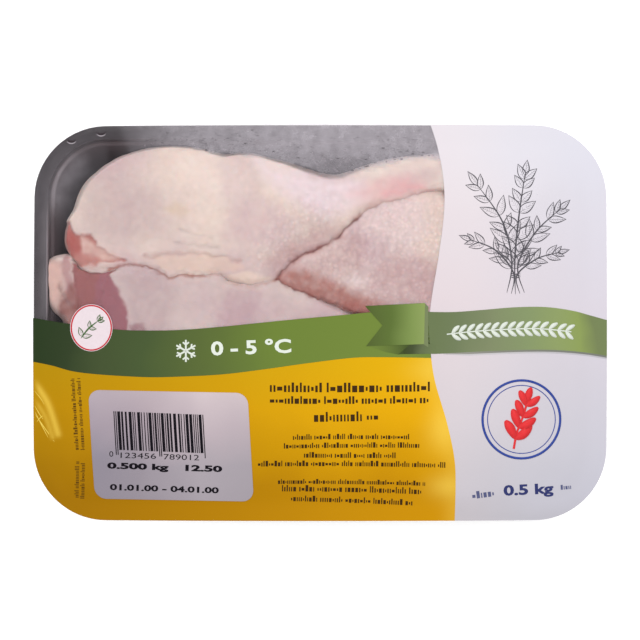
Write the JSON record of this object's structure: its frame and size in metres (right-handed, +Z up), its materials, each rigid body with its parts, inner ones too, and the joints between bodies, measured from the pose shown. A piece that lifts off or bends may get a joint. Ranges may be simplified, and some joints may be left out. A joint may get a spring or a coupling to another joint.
{
  "type": "tray pack of chicken legs",
  "caption": "Sealed dark plastic tray of raw, skin-on chicken legs under a printed lidding film with a clear window and a price label.",
  "frame": {"origin": "centre of the tray's base, on the surface that the pack stands on", "axes": "+X along the pack's long side, +Y across it towards the leg that lies on top, +Z up through the film"},
  "size_m": [0.23, 0.159, 0.0518],
  "materials": {
    "charcoal_plastic": "satin, thermoformed",
    "clear_film": "clear, glossy, printed in places",
    "label_paper": "thermal label",
    "raw_chicken_skin": "moist raw skin"
  },
  "bodies": {
    "root": {"tray": "charcoal_plastic", "lid_film": "clear_film", "price_label": "label_paper", "leg_upper": "raw_chicken_skin", "leg_lower": "raw_chicken_skin"}
  },
  "joints": []
}
